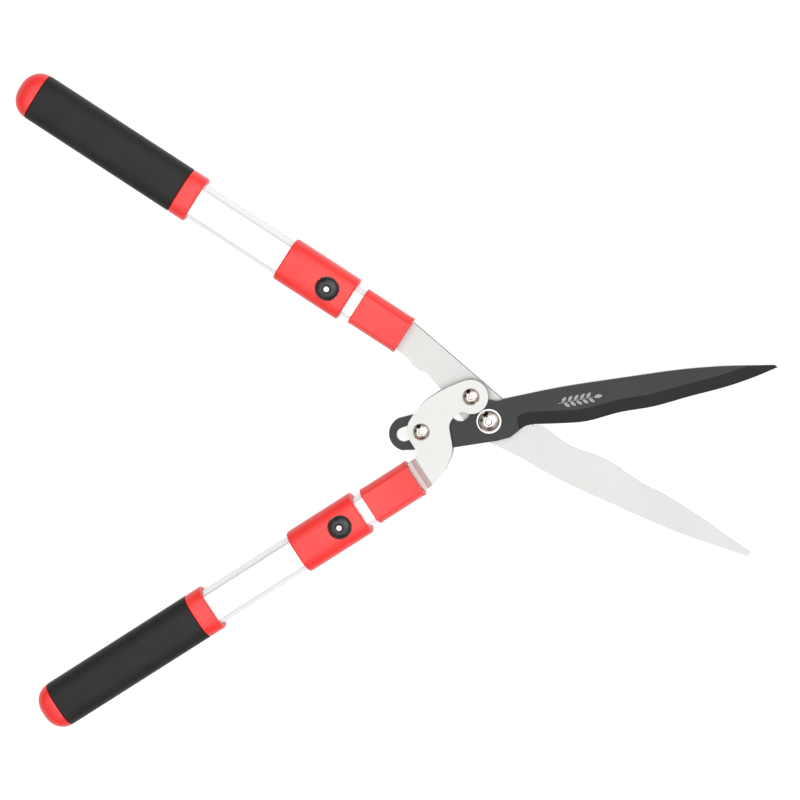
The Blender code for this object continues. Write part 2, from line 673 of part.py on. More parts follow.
def make_grip_parts(side, axis):
    half = OUTER_HALF + GAP
    top = OUTER_TOP + GAP
    collar = rounded_rings(oval_ring, COLLAR_FRONT, COLLAR_BACK, GRIP_HALF, MID_Z, 1.2, 2)
    collar += [tube_ring(COLLAR_BACK, half, top), tube_ring(COLLAR_FRONT, half, top)]
    loft(side + "_grip_collar", collar, LOOKS["red"], axis, hollow=True)

    front = COLLAR_BACK + GAP
    back = OUTER_BACK + 0.2
    grip = rounded_rings(oval_ring, front, back, GRIP_HALF, MID_Z, 0.8, 2)
    grip += [tube_ring(back, half, top), tube_ring(front, half, top)]
    loft(side + "_grip", grip, LOOKS["rubber"], axis, hollow=True)

    dome_front = back + GAP
    spigot = (OUTER_HALF - WALL - GAP, OUTER_TOP - WALL - GAP)
    cap = [tube_ring(OUTER_BACK - 12, *spigot), tube_ring(dome_front, *spigot)]
    for i in range(6):
        a = math.radians(16 * i)
        reach = math.cos(a) ** 0.9
        cap.append(oval_ring(dome_front + (CAP_BACK - dome_front) * math.sin(a), (GRIP_HALF - 0.1) * reach,
                             (MID_Z - 0.1) * reach))
    loft(side + "_end_cap", cap, LOOKS["red"], axis)


def make_handle(side, axis, tang_low, tang_high):
    """A whole telescoping handle. The tang's heights are above the ground."""
    low = tang_low - MID_Z
    high = tang_high - MID_Z
    make_sleeve(side, axis, low, high)
    make_tang_insert(side, axis, low, high)
    make_rivets(side, axis)
    make_inner_tube(side, axis)
    make_guide_bush(side, axis)
    make_outer_tube(side, axis)
    make_housing(side, axis)
    make_lock(side, axis)
    make_grip_parts(side, axis)


clear_scene()
PARTS = make_collection(OBJECT_NAME)
CUTTERS = make_collection("cutters")
LOOKS = {
    "steel": make_material("satin_steel", (0.84, 0.84, 0.82), 0.32, 0.9),
    "coated": make_material("dark_coating", (0.07, 0.07, 0.07), 0.45),
    "bright": make_material("bright_nickel", (0.80, 0.75, 0.68), 0.15, 1.0),
    "aluminium": make_material("anodised_tube", (0.88, 0.88, 0.87), 0.35, 0.7),
    "red": make_material("red_plastic", (0.85, 0.06, 0.05), 0.4),
    "rubber": make_material("black_grip", (0.03, 0.03, 0.03), 0.7),
    "black": make_material("black_plastic", (0.02, 0.02, 0.02), 0.35),
}
make_dark_blade()
make_silver_blade()
LEVER_AXIS = make_empty("lever_axis", *LEVER_PIVOT, 0)
FRONT_DROP = FRONT_PLATE_LOW - (MID_Z + GAP / 2)
BACK_DROP = BACK_PLATE_HIGH - (MID_Z - GAP / 2)
make_lever_plate("lever_plate_front", FRONT_PLATE_LOW, FRONT_DROP, LEVER_AXIS)
make_lever_plate("lever_plate_back", BACK_PLATE_LOW, BACK_DROP, LEVER_AXIS)
make_fasteners(LEVER_AXIS)
UPPER_AXIS = make_empty("upper_handle_axis", *UPPER_ORIGIN, MID_Z, UPPER_ANGLE)
LOWER_AXIS = make_empty("lower_handle_axis", *minus(LOWER_ORIGIN, LEVER_PIVOT), MID_Z, LOWER_ANGLE,
                        LEVER_AXIS)
make_handle("upper", UPPER_AXIS, SILVER_LOW, SILVER_HIGH)
make_handle("lower", LOWER_AXIS, MID_Z - GAP / 2 - LEVER_THICK, MID_Z + GAP / 2 + LEVER_THICK)
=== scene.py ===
"""Looks for the telescoping hedge shears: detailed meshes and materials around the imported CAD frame.

The handle pieces are lofted in each handle's own frame, x outwards along the tube, y sideways and z up
from its middle plane. Plates are taken from the CAD solids and given rounded edges. Lengths are in
millimetres until a mesh is made.
"""

import math

import bmesh
import bpy
from mathutils import Matrix, Vector


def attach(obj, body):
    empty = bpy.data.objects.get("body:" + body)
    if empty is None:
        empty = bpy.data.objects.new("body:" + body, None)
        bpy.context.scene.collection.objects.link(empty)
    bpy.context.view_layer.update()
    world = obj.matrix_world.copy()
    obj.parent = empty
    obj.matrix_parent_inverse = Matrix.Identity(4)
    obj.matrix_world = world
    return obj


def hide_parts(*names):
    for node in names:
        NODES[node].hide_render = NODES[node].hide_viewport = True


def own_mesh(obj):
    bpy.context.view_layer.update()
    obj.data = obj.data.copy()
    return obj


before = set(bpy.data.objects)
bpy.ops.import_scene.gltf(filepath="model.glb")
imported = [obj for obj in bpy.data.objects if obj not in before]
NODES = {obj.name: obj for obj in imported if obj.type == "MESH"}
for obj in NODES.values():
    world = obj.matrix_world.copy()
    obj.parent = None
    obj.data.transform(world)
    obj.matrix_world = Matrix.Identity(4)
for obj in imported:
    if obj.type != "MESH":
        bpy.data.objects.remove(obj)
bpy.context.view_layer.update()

MM = 0.001
# Height of the handles' middle plane, and the clearance between fitted pieces.
MID_Z = 14.0
GAP = 0.3
# Radius at which a turned solid ends beside its axis.
AXIS = 0.02

# Handle frames: where the front sleeve starts, which way the tube points, what the inner tube rides on
# and the lowest and highest z of the tang.
HANDLES = {
    "upper": ((-68.5, 67.1), 147.5, "fixed_blade", (-4.15, -0.15)),
    "lower": ((-59.3, -47.3), 213.4, "lever", (-2.65, 2.65)),
}
TANG_END = 42.0
RIVETS = {"front": 15.0, "rear": 32.0}
RIVET_RADIUS = 2.0
# Where fine extrusion lines run along the top of each tube.
INNER_LINES = {"upper": (5.4,), "lower": (2.6,)}
OUTER_LINES = {"upper": (-9.9,), "lower": (9.9,)}
# How far a tube's side arcs have their centres from its middle.
SIDE_CENTRE = 1.8
# Half the width of the mouth that takes the tang.
MOUTH_HALF = 9.8
WALL = 1.2
SLEEVE_BACK = 44.0
SLEEVE_HALF = 16.0
SLEEVE_TOP = 10.6
INNER_FRONT = 3.3
INNER_BACK = 290.0
INNER_HALF = 13.4
INNER_TOP = 8.4
OUTER_FRONT = 54.6
OUTER_BACK = 350.0
OUTER_HALF = 15.7
OUTER_TOP = 10.5
HOUSING_FRONT = 52.5
HOUSING_BACK = 113.6
HOUSING_HALF = 18.5
COLLAR_FRONT = 198.0
COLLAR_BACK = 213.0
GRIP_HALF = 19.4
# The grip's front just clears the collar, so that no tube shows between them.
GRIP_FRONT = COLLAR_BACK + 0.01
GRIP_BACK = 350.2
CAP_BACK = 366.6
LOCK_X = 71.5
LOCK_PITCH = 30.0
LOCK_HOLES = 7
SCREW_X = 97.6
SCREW_RADIUS = 1.6
WELL_RADIUS = 9.75
PIN_HOLE_RADIUS = 2.1
KEYHOLE_RADIUS = 4.5
KEYWAY_HALF = 2.2
SPRING_LOW = 10.95
SPRING_HIGH = 15.6
SPRING_RADIUS = 5.0
SPRING_WIRE = 0.35
SPRING_TURNS = 2.5
SPRING_STEPS = 36
BUTTON_PROFILE = [
    (7.2, 16.0), (7.2, 13.8), (9.1, 13.8), (9.35, 13.9), (9.45, 14.2), (9.35, 14.85), (9.05, 15.5),
    (8.55, 16.1), (7.8, 16.65), (6.9, 17.1), (5.9, 17.45), (4.9, 17.7), (4.2, 17.82), (3.85, 17.8),
    (3.65, 17.65), (3.5, 17.3), (3.2, 17.1), (2.4, 17.0), (2.0, 16.9), (2.0, 16.0)]
PIN_PROFILE = [
    (AXIS, 6.4), (3.8, 6.4), (4.1, 6.7), (4.1, 8.7), (3.9, 8.9), (1.7, 8.9), (1.7, 17.2), (2.2, 17.2),
    (2.2, 18.05), (2.05, 18.22), (1.6, 18.3), (0.8, 18.34), (AXIS, 18.35)]

# Bolts: centre, head radius, underside of the head, socket apothem, shank radius, end and body.
BOLTS = {
    "pivot_bolt": ((0.0, 0.0), 8.8, 19.95, 2.3, 4.0, 0.0, "fixed_blade"),
    "lever_pivot_bolt": ((-14.3, 19.6), 6.7, 21.25, 1.75, 3.0, 0.6, "fixed_blade"),
    "slot_bolt": ((-54.2, -9.3), 6.7, 21.25, 1.75, 3.0, 0.6, "lever"),
}
# Nuts: centre, width across flats, bore radius, lowest and highest z, and body.
NUTS = {
    "pivot_nut": ((0.0, 0.0), 13.0, 4.3, 0.7, 8.05, "fixed_blade"),
    "lever_pivot_nut": ((-14.3, 19.6), 10.0, 3.3, 1.3, 6.75, "fixed_blade"),
    "slot_nut": ((-54.2, -9.3), 10.0, 3.3, 1.3, 6.75, "lever"),
}
# Rings: centre, inner and outer radius, lowest and highest z, look, body and edge rounding.
RINGS = {
    "pivot_washer_front": ((0.0, 0.0), 4.3, 10.1, 18.45, 19.65, "dull_nickel", "fixed_blade", 0.35),
    "pivot_washer_rear": ((0.0, 0.0), 4.3, 8.4, 8.35, 9.55, "bright_nickel", "fixed_blade", 0.3),
    "lever_pivot_spacer": ((-14.3, 19.6), 3.3, 7.3, 14.15, 18.15, "satin_steel", "fixed_blade", 0.3),
    "slot_roller": ((-54.2, -9.3), 3.3, 5.4, 14.15, 18.15, "satin_steel", "lever", 0.3),
    "slot_bumper": ((-54.2, -9.3), 3.3, 8.8, 9.85, 13.85, "bumper_rubber", "lever", 0.5),
}
DARK_TOP = 18.15
DARK_ANGLE = 11.6
# Where the printed twig starts on the dark blade, along it from the pivot and towards its back.
MARK_START = (58.0, 3.6)

# Plates: how wide their broken edges are, how far two faces may turn and still be one (degrees), how far
# they turn at a corner that is broken (degrees) and the shortest corner that is.
BLADE_ROUNDING = 0.18
LEVER_ROUNDING = 0.3
FLAT_ANGLE = 0.6
CORNER_ANGLE = 28
SHORTEST_CORNER = 0.3
# How upright a plate's face normal is on its cut sides and on its ground bevel, and the least area of a
# bevel's face in square metres.
SIDE_FACE = 0.7
BEVEL_FACE = (0.90, 0.97)
BEVEL_AREA = 2e-6

# The vertex attribute that holds a point's place in its piece's own frame, in metres.
OWN_PLACE = "own_place"
# Light of the studio dome by height, from the horizon to overhead, and its dark flags: direction,
# angles at which it is full and ends, and the share of light there. The last is a soft key light.
DOME = [(0.0, 0.20), (0.2, 0.25), (0.5, 0.50), (0.75, 1.05), (0.93, 2.1), (1.0, 2.3)]
DOME_STRENGTH = 1.12
FLAGS = [((-0.46, 0.77, 0.44), 19, 25, 0.02), ((-0.28, 0.50, 0.82), 6, 10, 0.05),
         ((-0.85, 0.05, 0.47), 9, 20, 0.15), ((0.10, -0.88, 0.46), 12, 26, 0.30),
         ((0.72, 0.36, 0.60), 20, 34, 2.2)]
# Camera: the point it looks at, the direction that it stands in and its distance, in metres.
CAMERA_LOOKS_AT = (-0.0720, 0.01523, 0.014)
CAMERA_SIDE = (0.12, 0.14, 1.0)
CAMERA_DISTANCE = 3.0
SENSOR_WIDTH = 36.0
LENS = 168.75
# Floor: half its width and its height in metres, its grey and how much it glows.
FLOOR_HALF = 9.0
FLOOR_Z = -0.0004
FLOOR_GREY = 0.22
FLOOR_GLOW = 0.85

# ---- materials ------------------------------------------------------------------------------


def add_node(tree, kind, inputs=(), **settings):
    """A shader node. inputs holds (socket, value or output to link) pairs."""
    node = tree.nodes.new(kind)
    for name, value in settings.items():
        setattr(node, name, value)
    for socket, value in inputs:
        if isinstance(value, bpy.types.NodeSocket):
            tree.links.new(value, node.inputs[socket])
        else:
            node.inputs[socket].default_value = value
    return node


def stretched(tree, scale):
    """A vertex's place in its piece's own frame, in metres, scaled along each axis."""
    where = add_node(tree, "ShaderNodeAttribute", attribute_name=OWN_PLACE).outputs["Vector"]
    return add_node(tree, "ShaderNodeMapping", [("Vector", where), ("Scale", scale)]).outputs["Vector"]


def noise(tree, scale, detail=3.0, rough=0.5):
    """Noise in the piece's own coordinates; scale is waves per metre along each axis."""
    return add_node(tree, "ShaderNodeTexNoise", [("Vector", stretched(tree, scale)), ("Scale", 1.0),
                                                 ("Detail", detail), ("Roughness", rough)]).outputs["Fac"]


def between(tree, share, low, high):
    """A number that goes from low to high as share goes from 0.3 to 0.7."""
    return add_node(tree, "ShaderNodeMapRange", [("Value", share), ("From Min", 0.3), ("From Max", 0.7),
                                                 ("To Min", low), ("To Max", high)]).outputs["Result"]


def mixed(tree, share, first, second):
    node = add_node(tree, "ShaderNodeMix", [("Factor", share)], data_type="RGBA")
    for socket, colour in ((6, first), (7, second)):
        if isinstance(colour, bpy.types.NodeSocket):
            tree.links.new(colour, node.inputs[socket])
        else:
            node.inputs[socket].default_value = (*colour, 1.0)
    return node.outputs[2]


def surface(name, first, second, patch, roughness, grain, bump, metallic=0.0, specular=0.5, coat=0.0):
    """A material whose colour drifts between two tones and whose grain sets roughness and relief.

    patch and grain are waves per metre along each axis, roughness is (low, high) and bump is the
    relief in metres.
    """
    made = bpy.data.materials.new(name)
    made.use_nodes = True
    tree = made.node_tree
    shader = tree.nodes["Principled BSDF"]
    blotches = noise(tree, patch)
    fine = noise(tree, grain, 4.0, 0.6)
    colour = mixed(tree, between(tree, blotches, 0.0, 1.0), first, second)
    tree.links.new(colour, shader.inputs["Base Color"])
    tree.links.new(between(tree, fine, *roughness), shader.inputs["Roughness"])
    relief = add_node(tree, "ShaderNodeBump", [("Height", fine), ("Distance", bump), ("Strength", 1.0)])
    tree.links.new(relief.outputs["Normal"], shader.inputs["Normal"])
    shader.inputs["Metallic"].default_value = metallic
    shader.inputs["Specular IOR Level"].default_value = specular
    shader.inputs["Coat Weight"].default_value = coat
    shader.inputs["Coat Roughness"].default_value = 0.2
    return made


LOOKS = {
    "satin_steel": surface("satin_steel", (0.495, 0.498, 0.484), (0.533, 0.535, 0.522), (14, 14, 14),
                           (0.36, 0.44), (2500, 160, 900), 4e-6, metallic=0.25),
    "plate_steel": surface("plate_steel", (0.560, 0.558, 0.543), (0.590, 0.588, 0.573), (20, 20, 20),
                           (0.38, 0.46), (220, 1900, 900), 4e-6, metallic=0.25),
    # Dark steel for the plates' cut sides and the bolts' socket walls: painted shade, darker than the steel
    # itself is.
    "painted_shade_steel": surface("painted_shade_steel", (0.070, 0.070, 0.070), (0.110, 0.110, 0.108), (200, 200, 200),
                        (0.40, 0.60), (900, 900, 300), 2e-5, metallic=0.3),
    "dark_coating": surface("dark_coating", (0.0165, 0.0165, 0.017), (0.022, 0.022, 0.0225), (30, 30, 30),
                            (0.36, 0.46), (1600, 1600, 1600), 6e-6, specular=0.32),
    "dark_bevel": surface("dark_bevel", (0.009, 0.009, 0.0095), (0.013, 0.013, 0.0135), (60, 60, 60),
                          (0.30, 0.42), (2400, 240, 900), 5e-6, specular=0.30),
    "bright_nickel": surface("bright_nickel", (0.70, 0.61, 0.53), (0.78, 0.71, 0.63), (120, 120, 120),
                             (0.09, 0.16), (900, 900, 900), 2e-6, metallic=1.0),
    "dull_nickel": surface("dull_nickel", (0.53, 0.52, 0.51), (0.59, 0.58, 0.57), (120, 120, 120),
                           (0.22, 0.32), (900, 900, 900), 3e-6, metallic=1.0),
    "anodised_tube": surface("anodised_tube", (0.78, 0.78, 0.77), (0.83, 0.83, 0.82), (8, 60, 60),
                             (0.26, 0.36), (20, 2600, 2600), 3e-6, metallic=0.45),
    "red_plastic": surface("red_plastic", (0.78, 0.026, 0.023), (0.84, 0.035, 0.031), (40, 40, 40),
                           (0.32, 0.40), (2400, 2400, 2400), 8e-6, specular=0.50),
    "black_plastic": surface("black_plastic", (0.010, 0.010, 0.011), (0.016, 0.016, 0.017), (90, 90, 90),
                             (0.22, 0.34), (2600, 2600, 2600), 5e-6),
    "grip_rubber": surface("grip_rubber", (0.0075, 0.007, 0.0068), (0.0115, 0.011, 0.0105), (60, 60, 60),
                           (0.50, 0.68), (1500, 1700, 1700), 6e-5, specular=0.30),
    "bumper_rubber": surface("bumper_rubber", (0.012, 0.012, 0.012), (0.020, 0.020, 0.020), (90, 90, 90),
                             (0.6, 0.75), (1800, 1800, 1800), 3e-5),
    "spring_steel": surface("spring_steel", (0.42, 0.42, 0.42), (0.52, 0.52, 0.52), (400, 400, 400),
                            (0.25, 0.38), (3000, 3000, 3000), 2e-6, metallic=1.0),
    "pad_print": surface("pad_print", (0.27, 0.26, 0.25), (0.34, 0.33, 0.315), (300, 300, 300),
                         (0.45, 0.55), (2500, 2500, 2500), 2e-6),
}


# ---- meshes ---------------------------------------------------------------------------------


def outward(bm):
    """Turns every face of a closed shape outwards."""
    bmesh.ops.recalc_face_normals(bm, faces=bm.faces)
    if bm.calc_volume(signed=True) < 0:
        bmesh.ops.reverse_faces(bm, faces=bm.faces)


def shape(name, bm):
    """An object from a closed bmesh in millimetres."""
    outward(bm)
    for vert in bm.verts:
        vert.co *= MM
    mesh = bpy.data.meshes.new(name)
    bm.to_mesh(mesh)
    bm.free()
    made = bpy.data.objects.new(name, mesh)
    bpy.context.scene.collection.objects.link(made)
    return made


def carve(target, cutters):
    """Cuts closed bmesh shapes out of a piece."""
    helpers = [shape(f"cutter_{i}", bm) for i, bm in enumerate(cutters)]
    for helper in helpers:
        cut = target.modifiers.new(helper.name, "BOOLEAN")
        cut.operation = "DIFFERENCE"
        cut.solver = "EXACT"
        cut.object = helper
    graph = bpy.context.evaluated_depsgraph_get()
    mesh = bpy.data.meshes.new_from_object(target.evaluated_get(graph))
    target.modifiers.clear()
    target.data = mesh
    for helper in helpers:
        bpy.data.objects.remove(helper)


def piece(name, bm, look, place, body, stands_for=(), cutters=(), sharp=32):
    """Makes a shown piece from bmesh shapes in millimetres, laid out in the frame given by place.

    Each vertex keeps its place in that frame as the attribute that the materials are laid out in.
    """
    made = shape(name, bm)
    if cutters:
        carve(made, cutters)
    mesh = made.data
    own = mesh.attributes.new(OWN_PLACE, "FLOAT_VECTOR", "POINT")
    for vert, entry in zip(mesh.vertices, own.data):
        entry.vector = vert.co
    mesh.transform(place)
    mesh.materials.clear()
    mesh.materials.append(LOOKS[look])
    mesh.shade_smooth()
    mesh.set_sharp_from_angle(angle=math.radians(sharp))
    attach(made, body)
    if stands_for:
        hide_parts(*stands_for)
    return made


def at(centre, z=0.0, angle=0.0):
    turn = Matrix.Rotation(math.radians(angle), 4, "Z")
    return Matrix.Translation((centre[0] * MM, centre[1] * MM, z * MM)) @ turn


def skinned(rings, hollow=False):
    """A bmesh skin over rings of equal count: capped, or closed back to the first ring if hollow."""
    bm = bmesh.new()
    rows = [[bm.verts.new(point) for point in ring] for ring in rings]
    pairs = list(zip(rows, rows[1:]))
    if hollow:
        pairs.append((rows[-1], rows[0]))
    else:
        bm.faces.new(rows[0])
        bm.faces.new(rows[-1])
    for first, second in pairs:
        for i in range(len(first)):
            j = (i + 1) % len(first)
            bm.faces.new((first[i], first[j], second[j], second[i]))
    return bm


def hexagon(apothem, angle):
    """How far a hexagon's side is from its centre in a direction."""
    return apothem / math.cos((angle + math.pi / 6) % (math.pi / 3) - math.pi / 6)


def turned(profile, hollow=False, steps=72):
    """A lathe mesh. A profile point is (radius, z), or (radius, z, shape) for shape(radius, angle)."""
    rings = []
    for radius, z, *shape in profile:
        ring = []
        for i in range(steps):
            a = 2 * math.pi * i / steps
            reach = shape[0](radius, a) if shape else radius
            ring.append((reach * math.cos(a), reach * math.sin(a), z))
        rings.append(ring)
    return skinned(rings, hollow)


def rounded_profile(points, radius, steps=4):
    """A closed (radius, z) profile with each of its corners rounded."""
    made = []
    count = len(points)
    for i in range(count):
        corner = Vector(points[i])
        before = (Vector(points[i - 1]) - corner)
        after = (Vector(points[(i + 1) % count]) - corner)
        reach = min(radius, before.length * 0.45, after.length * 0.45)
        start = corner + before.normalized() * reach
        end = corner + after.normalized() * reach
        for k in range(steps + 1):
            t = k / steps
            made.append(tuple(start * (1 - t) ** 2 + corner * 2 * t * (1 - t) + end * t ** 2))
    return made


def tube_section(half, top, fillet=1.4, groove=None):
    """A tube's (y, z) section: flat above and below, arcs at the sides, filleted where they meet.

    groove is the y of a fine extrusion line along the top.
    """
    radius = half - SIDE_CENTRE
    centre_y = SIDE_CENTRE + math.sqrt((radius - fillet) ** 2 - (top - fillet) ** 2)
    meet = math.atan2(top - fillet, centre_y - SIDE_CENTRE)
    right = []
    for i in range(5):
        a = -math.pi / 2 + (math.pi / 2 - meet) * i / 4
        right.append((centre_y + fillet * math.cos(a), -(top - fillet) + fillet * math.sin(a)))
    for i in range(1, 16):
        a = -meet + 2 * meet * i / 16
        right.append((SIDE_CENTRE + radius * math.cos(a), radius * math.sin(a)))
    for i in range(5):
        a = meet + (math.pi / 2 - meet) * i / 4
        right.append((centre_y + fillet * math.cos(a), top - fillet + fillet * math.sin(a)))
    grooves = []
    for line in sorted(groove or (), reverse=True):
        grooves += [(line + 0.22, top), (line, top - 0.28), (line - 0.22, top)]
    left = [(-y, z) for y, z in reversed(right)]
    return [*right, *grooves, *left]


def oval_section(half, top, limit=72, fill=0.74, steps=26):
    """A rounder (y, z) section for moulded parts that a hand or thumb holds."""
    full = math.sin(math.radians(limit)) ** fill
    right = []
    for i in range(steps + 1):
        a = math.radians(-limit + 2 * limit * i / steps)
        z = math.copysign(abs(math.sin(a)) ** fill, a) / full
        right.append((half * math.cos(a) ** fill, top * z))
    return [*right, *[(-y, z) for y, z in reversed(right)]]


def ring_at(x, section):
    return [(x, y, z) for y, z in section]


def quarter(front, back, radius, steps=5):
    """(x, inset) pairs along a piece whose two ends are rounded."""
    pairs = []
    for i in range(steps + 1):
        a = math.pi / 2 * i / steps
        pairs.append((front + radius * (1 - math.cos(a)), radius * (1 - math.sin(a))))
    for i in range(steps + 1):
        a = math.pi / 2 * (1 - i / steps)
        pairs.append((back - radius * (1 - math.cos(a)), radius * (1 - math.sin(a))))
    return pairs


def block(low, high):
    bm = bmesh.new()
    bmesh.ops.create_cube(bm, size=1.0)
    for vert in bm.verts:
        vert.co = [(b if v > 0 else a) for v, a, b in zip(vert.co, low, high)]
    return bm


def post(x, profile, steps=48):
    """A turned cutter that stands at x along a handle."""
    bm = turned(profile, steps=steps)
    bmesh.ops.translate(bm, verts=bm.verts, vec=(x, 0, 0))
    return bm


def slab(outline, low, high):
    """A flat shape from a closed (x, y) outline."""
    return skinned([[(x, y, z) for x, y in outline] for z in (low, high)])


# ---- blades and lever -----------------------------------------------------------------------


def make_plate(node, look, body, rounding, side_look="painted_shade_steel", bevel_look=None):
    """A flat CAD solid again, with broken edges, and looks of their own on its cut sides and bevel; by
    default the cut sides take a dark steel that is painted shade.
    """
    bm = bmesh.new()
    bm.from_mesh(NODES[node].data)
    for vert in bm.verts:
        vert.co /= MM
    bmesh.ops.remove_doubles(bm, verts=bm.verts, dist=1e-3)
    bmesh.ops.dissolve_limit(bm, angle_limit=math.radians(FLAT_ANGLE), verts=bm.verts, edges=bm.edges)
    corners = [edge for edge in bm.edges if edge.is_manifold
               and edge.calc_face_angle() > math.radians(CORNER_ANGLE)
               and edge.calc_length() > SHORTEST_CORNER]
    bmesh.ops.bevel(bm, geom=corners, offset=rounding, offset_type="OFFSET", segments=2, profile=0.5,
                    affect="EDGES", clamp_overlap=True)
    made = piece(node + "_finished", bm, look, Matrix.Identity(4), body, [node], sharp=13)
    made.data.materials.append(LOOKS[side_look])
    if bevel_look:
        made.data.materials.append(LOOKS[bevel_look])
    # Side faces take the side look, which by default is the dark steel that paints shade on them.
    for face in made.data.polygons:
        upright = abs(face.normal.z)
        if upright < SIDE_FACE:
            face.material_index = 1
        elif bevel_look and BEVEL_FACE[0] < upright < BEVEL_FACE[1] and face.area > BEVEL_AREA:
            face.material_index = 2


def leaf(root, length, width, angle, steps=14):
    """Outline of one pointed leaf from its root, turned by an angle in degrees."""
    top = [(length * i / steps, width * math.sin(math.pi * i / steps) ** 0.8) for i in range(steps + 1)]
    outline = top + [(x, -y) for x, y in reversed(top[1:-1])]
    a = math.radians(angle)
    return [(root[0] + x * math.cos(a) - y * math.sin(a), root[1] + x * math.sin(a) + y * math.cos(a))
            for x, y in outline]


def make_blade_mark():
    """A plain leafy twig, printed on the dark blade: a thin stalk with leaves on both sides."""
    outlines = [[(-1.0, -0.2), (27.0, -0.2), (27.0, 0.2), (-1.0, 0.2)], leaf((28.0, 0.0), 7.0, 1.5, 0)]
    for i in range(5):
        outlines.append(leaf((2.0 + 5.0 * i, 0.5), 5.6, 1.25, 40))
        outlines.append(leaf((3.6 + 5.0 * i, -0.5), 5.6, 1.25, -40))
    bm = bmesh.new()
    for outline in outlines:
        rings = [[bm.verts.new((x, y, z)) for x, y in outline] for z in (0.01, 0.05)]
        bm.faces.new(rings[0])
        bm.faces.new(rings[1])
        for i in range(len(outline)):
            j = (i + 1) % len(outline)
            bm.faces.new((rings[0][i], rings[0][j], rings[1][j], rings[1][i]))
    place = at((0, 0), DARK_TOP, DARK_ANGLE) @ at(MARK_START)
    piece("blade_mark", bm, "pad_print", place, "cutting_blade")


# ---- fasteners ------------------------------------------------------------------------------


def make_bolt(name, centre, head, head_low, socket, shank, end, body):
    """A button head with a hexagon socket, on a plain shank with a chamfered end."""
    height = head * 0.52
    rim = 0.55
    sphere = (head ** 2 + (height - rim) ** 2) / (2 * (height - rim))
    mouth = socket * 1.45
    profile = [(AXIS, end), (shank - 0.6, end), (shank, end + 0.6), (shank, head_low),
               (head - 0.3, head_low), (head - 0.06, head_low + 0.1), (head, head_low + 0.3)]
    steps = 14
    for i in range(steps + 1):
        r = head + (mouth - head) * i / steps
        drop = sphere - math.sqrt(sphere ** 2 - r ** 2)
        profile.append((r, head_low + height - drop))
    top = profile[-1][1]
    floor = top - 1.3
    profile += [(mouth - 0.25, top - 0.06), (socket + 0.3, top - 0.2, hexagon),
                (socket - 0.15, top - 0.6, hexagon), (socket - 0.15, floor + 0.05, hexagon),
                (socket - 0.2, floor, hexagon), (AXIS, floor - 0.1)]
    bolt = piece(name + "_turned", turned(profile), "bright_nickel", at(centre), body, [name])
    # Painted shade: the socket's walls take the dark steel so that the recess reads dark.
    bolt.data.materials.append(LOOKS["painted_shade_steel"])
    for face in bolt.data.polygons:
        across = math.dist((face.center.x / MM, face.center.y / MM), centre)
        if across < mouth - 0.3 and floor + 0.02 < face.center.z / MM < top - 0.2:
            face.material_index = 1


def make_nut(name, centre, across, bore, low, high, body):
    """A hexagon nut, its corners turned down to a cone on both faces."""
    half = across / 2
    corner = half / math.cos(math.pi / 6)

    def chamfered(limit, angle):
        return min(limit, hexagon(half, angle))

    slope = [(half + (corner - half) * i / 4, 0.08 + 0.9 * i / 4) for i in range(5)]
    profile = [(bore + 0.5, high), (half * 0.95, high)]
    profile += [(reach, high - drop, chamfered) for reach, drop in slope]
    profile += [(reach, low + drop, chamfered) for reach, drop in reversed(slope)]
    profile += [(half * 0.95, low), (bore + 0.5, low), (bore, low + 0.5), (bore, high - 0.5)]
    piece(name + "_turned", turned(profile, hollow=True), "bright_nickel", at(centre), body, [name])


def make_ring(name, centre, inside, outside, low, high, look, body, fillet):
    corners = [(inside, high), (outside, high), (outside, low), (inside, low)]
    profile = rounded_profile(corners, fillet)
    piece(name + "_turned", turned(profile, hollow=True), look, at(centre), body, [name])


def make_fasteners():
    for name, facts in BOLTS.items():
        make_bolt(name, *facts)
    for name, facts in NUTS.items():
        make_nut(name, *facts)
    for name, facts in RINGS.items():
        make_ring(name, *facts)


# ---- handles --------------------------------------------------------------------------------


def make_sleeve(side, place, body, tang):
    """Moulded sleeve with a slight lip at each end and a mouth for the tang."""
    ends = quarter(0, SLEEVE_BACK, 0.9)
    half = len(ends) // 2
    waist = [(2.2, 0.0), (3.0, 0.25), (SLEEVE_BACK - 3.0, 0.25), (SLEEVE_BACK - 2.2, 0.0)]
    skin = [ring_at(x, tube_section(SLEEVE_HALF - inset, SLEEVE_TOP - inset))
            for x, inset in (*ends[:half], *waist, *ends[half:])]
    bore = tube_section(INNER_HALF + GAP, INNER_TOP + GAP)
    skin += [ring_at(SLEEVE_BACK, bore), ring_at(INNER_FRONT - GAP, bore)]
    mouth = block((-5, -MOUTH_HALF, tang[0] - GAP), (INNER_FRONT + 1, MOUTH_HALF, tang[1] + GAP))
    piece(side + "_sleeve_moulding", skinned(skin), "red_plastic", place, body, [side + "_front_sleeve"],
          [mouth])


def make_tang_fittings(side, place, body, tang):
    """Moulded filler between tang and tube, and the two flush rivets through them."""
    section = tube_section(INNER_HALF - WALL - GAP, INNER_TOP - WALL - GAP, 0.6)
    rings = [ring_at(x, section) for x in (INNER_FRONT, TANG_END + 4)]
    cutters = [block((-5, -MOUTH_HALF, tang[0] - GAP), (TANG_END + GAP, MOUTH_HALF, tang[1] + GAP))]
    cutters += [post(x, [(RIVET_RADIUS + GAP, -20), (RIVET_RADIUS + GAP, 20)], 32) for x in RIVETS.values()]
    piece(side + "_insert_moulding", skinned(rings), "black_plastic", place, body, [side + "_tang_insert"],
          cutters)
    flush = RIVET_RADIUS + WALL
    profile = [(AXIS, INNER_TOP), (flush, INNER_TOP), (RIVET_RADIUS, INNER_TOP - WALL),
               (RIVET_RADIUS, WALL - INNER_TOP), (flush, -INNER_TOP), (AXIS, -INNER_TOP)]
    for end, x in RIVETS.items():
        here = place @ Matrix.Translation((x * MM, 0, 0))
        piece(f"{side}_rivet_{end}_turned", turned(profile, steps=40), "bright_nickel", here, body,
              [f"{side}_tang_rivet_{end}"])


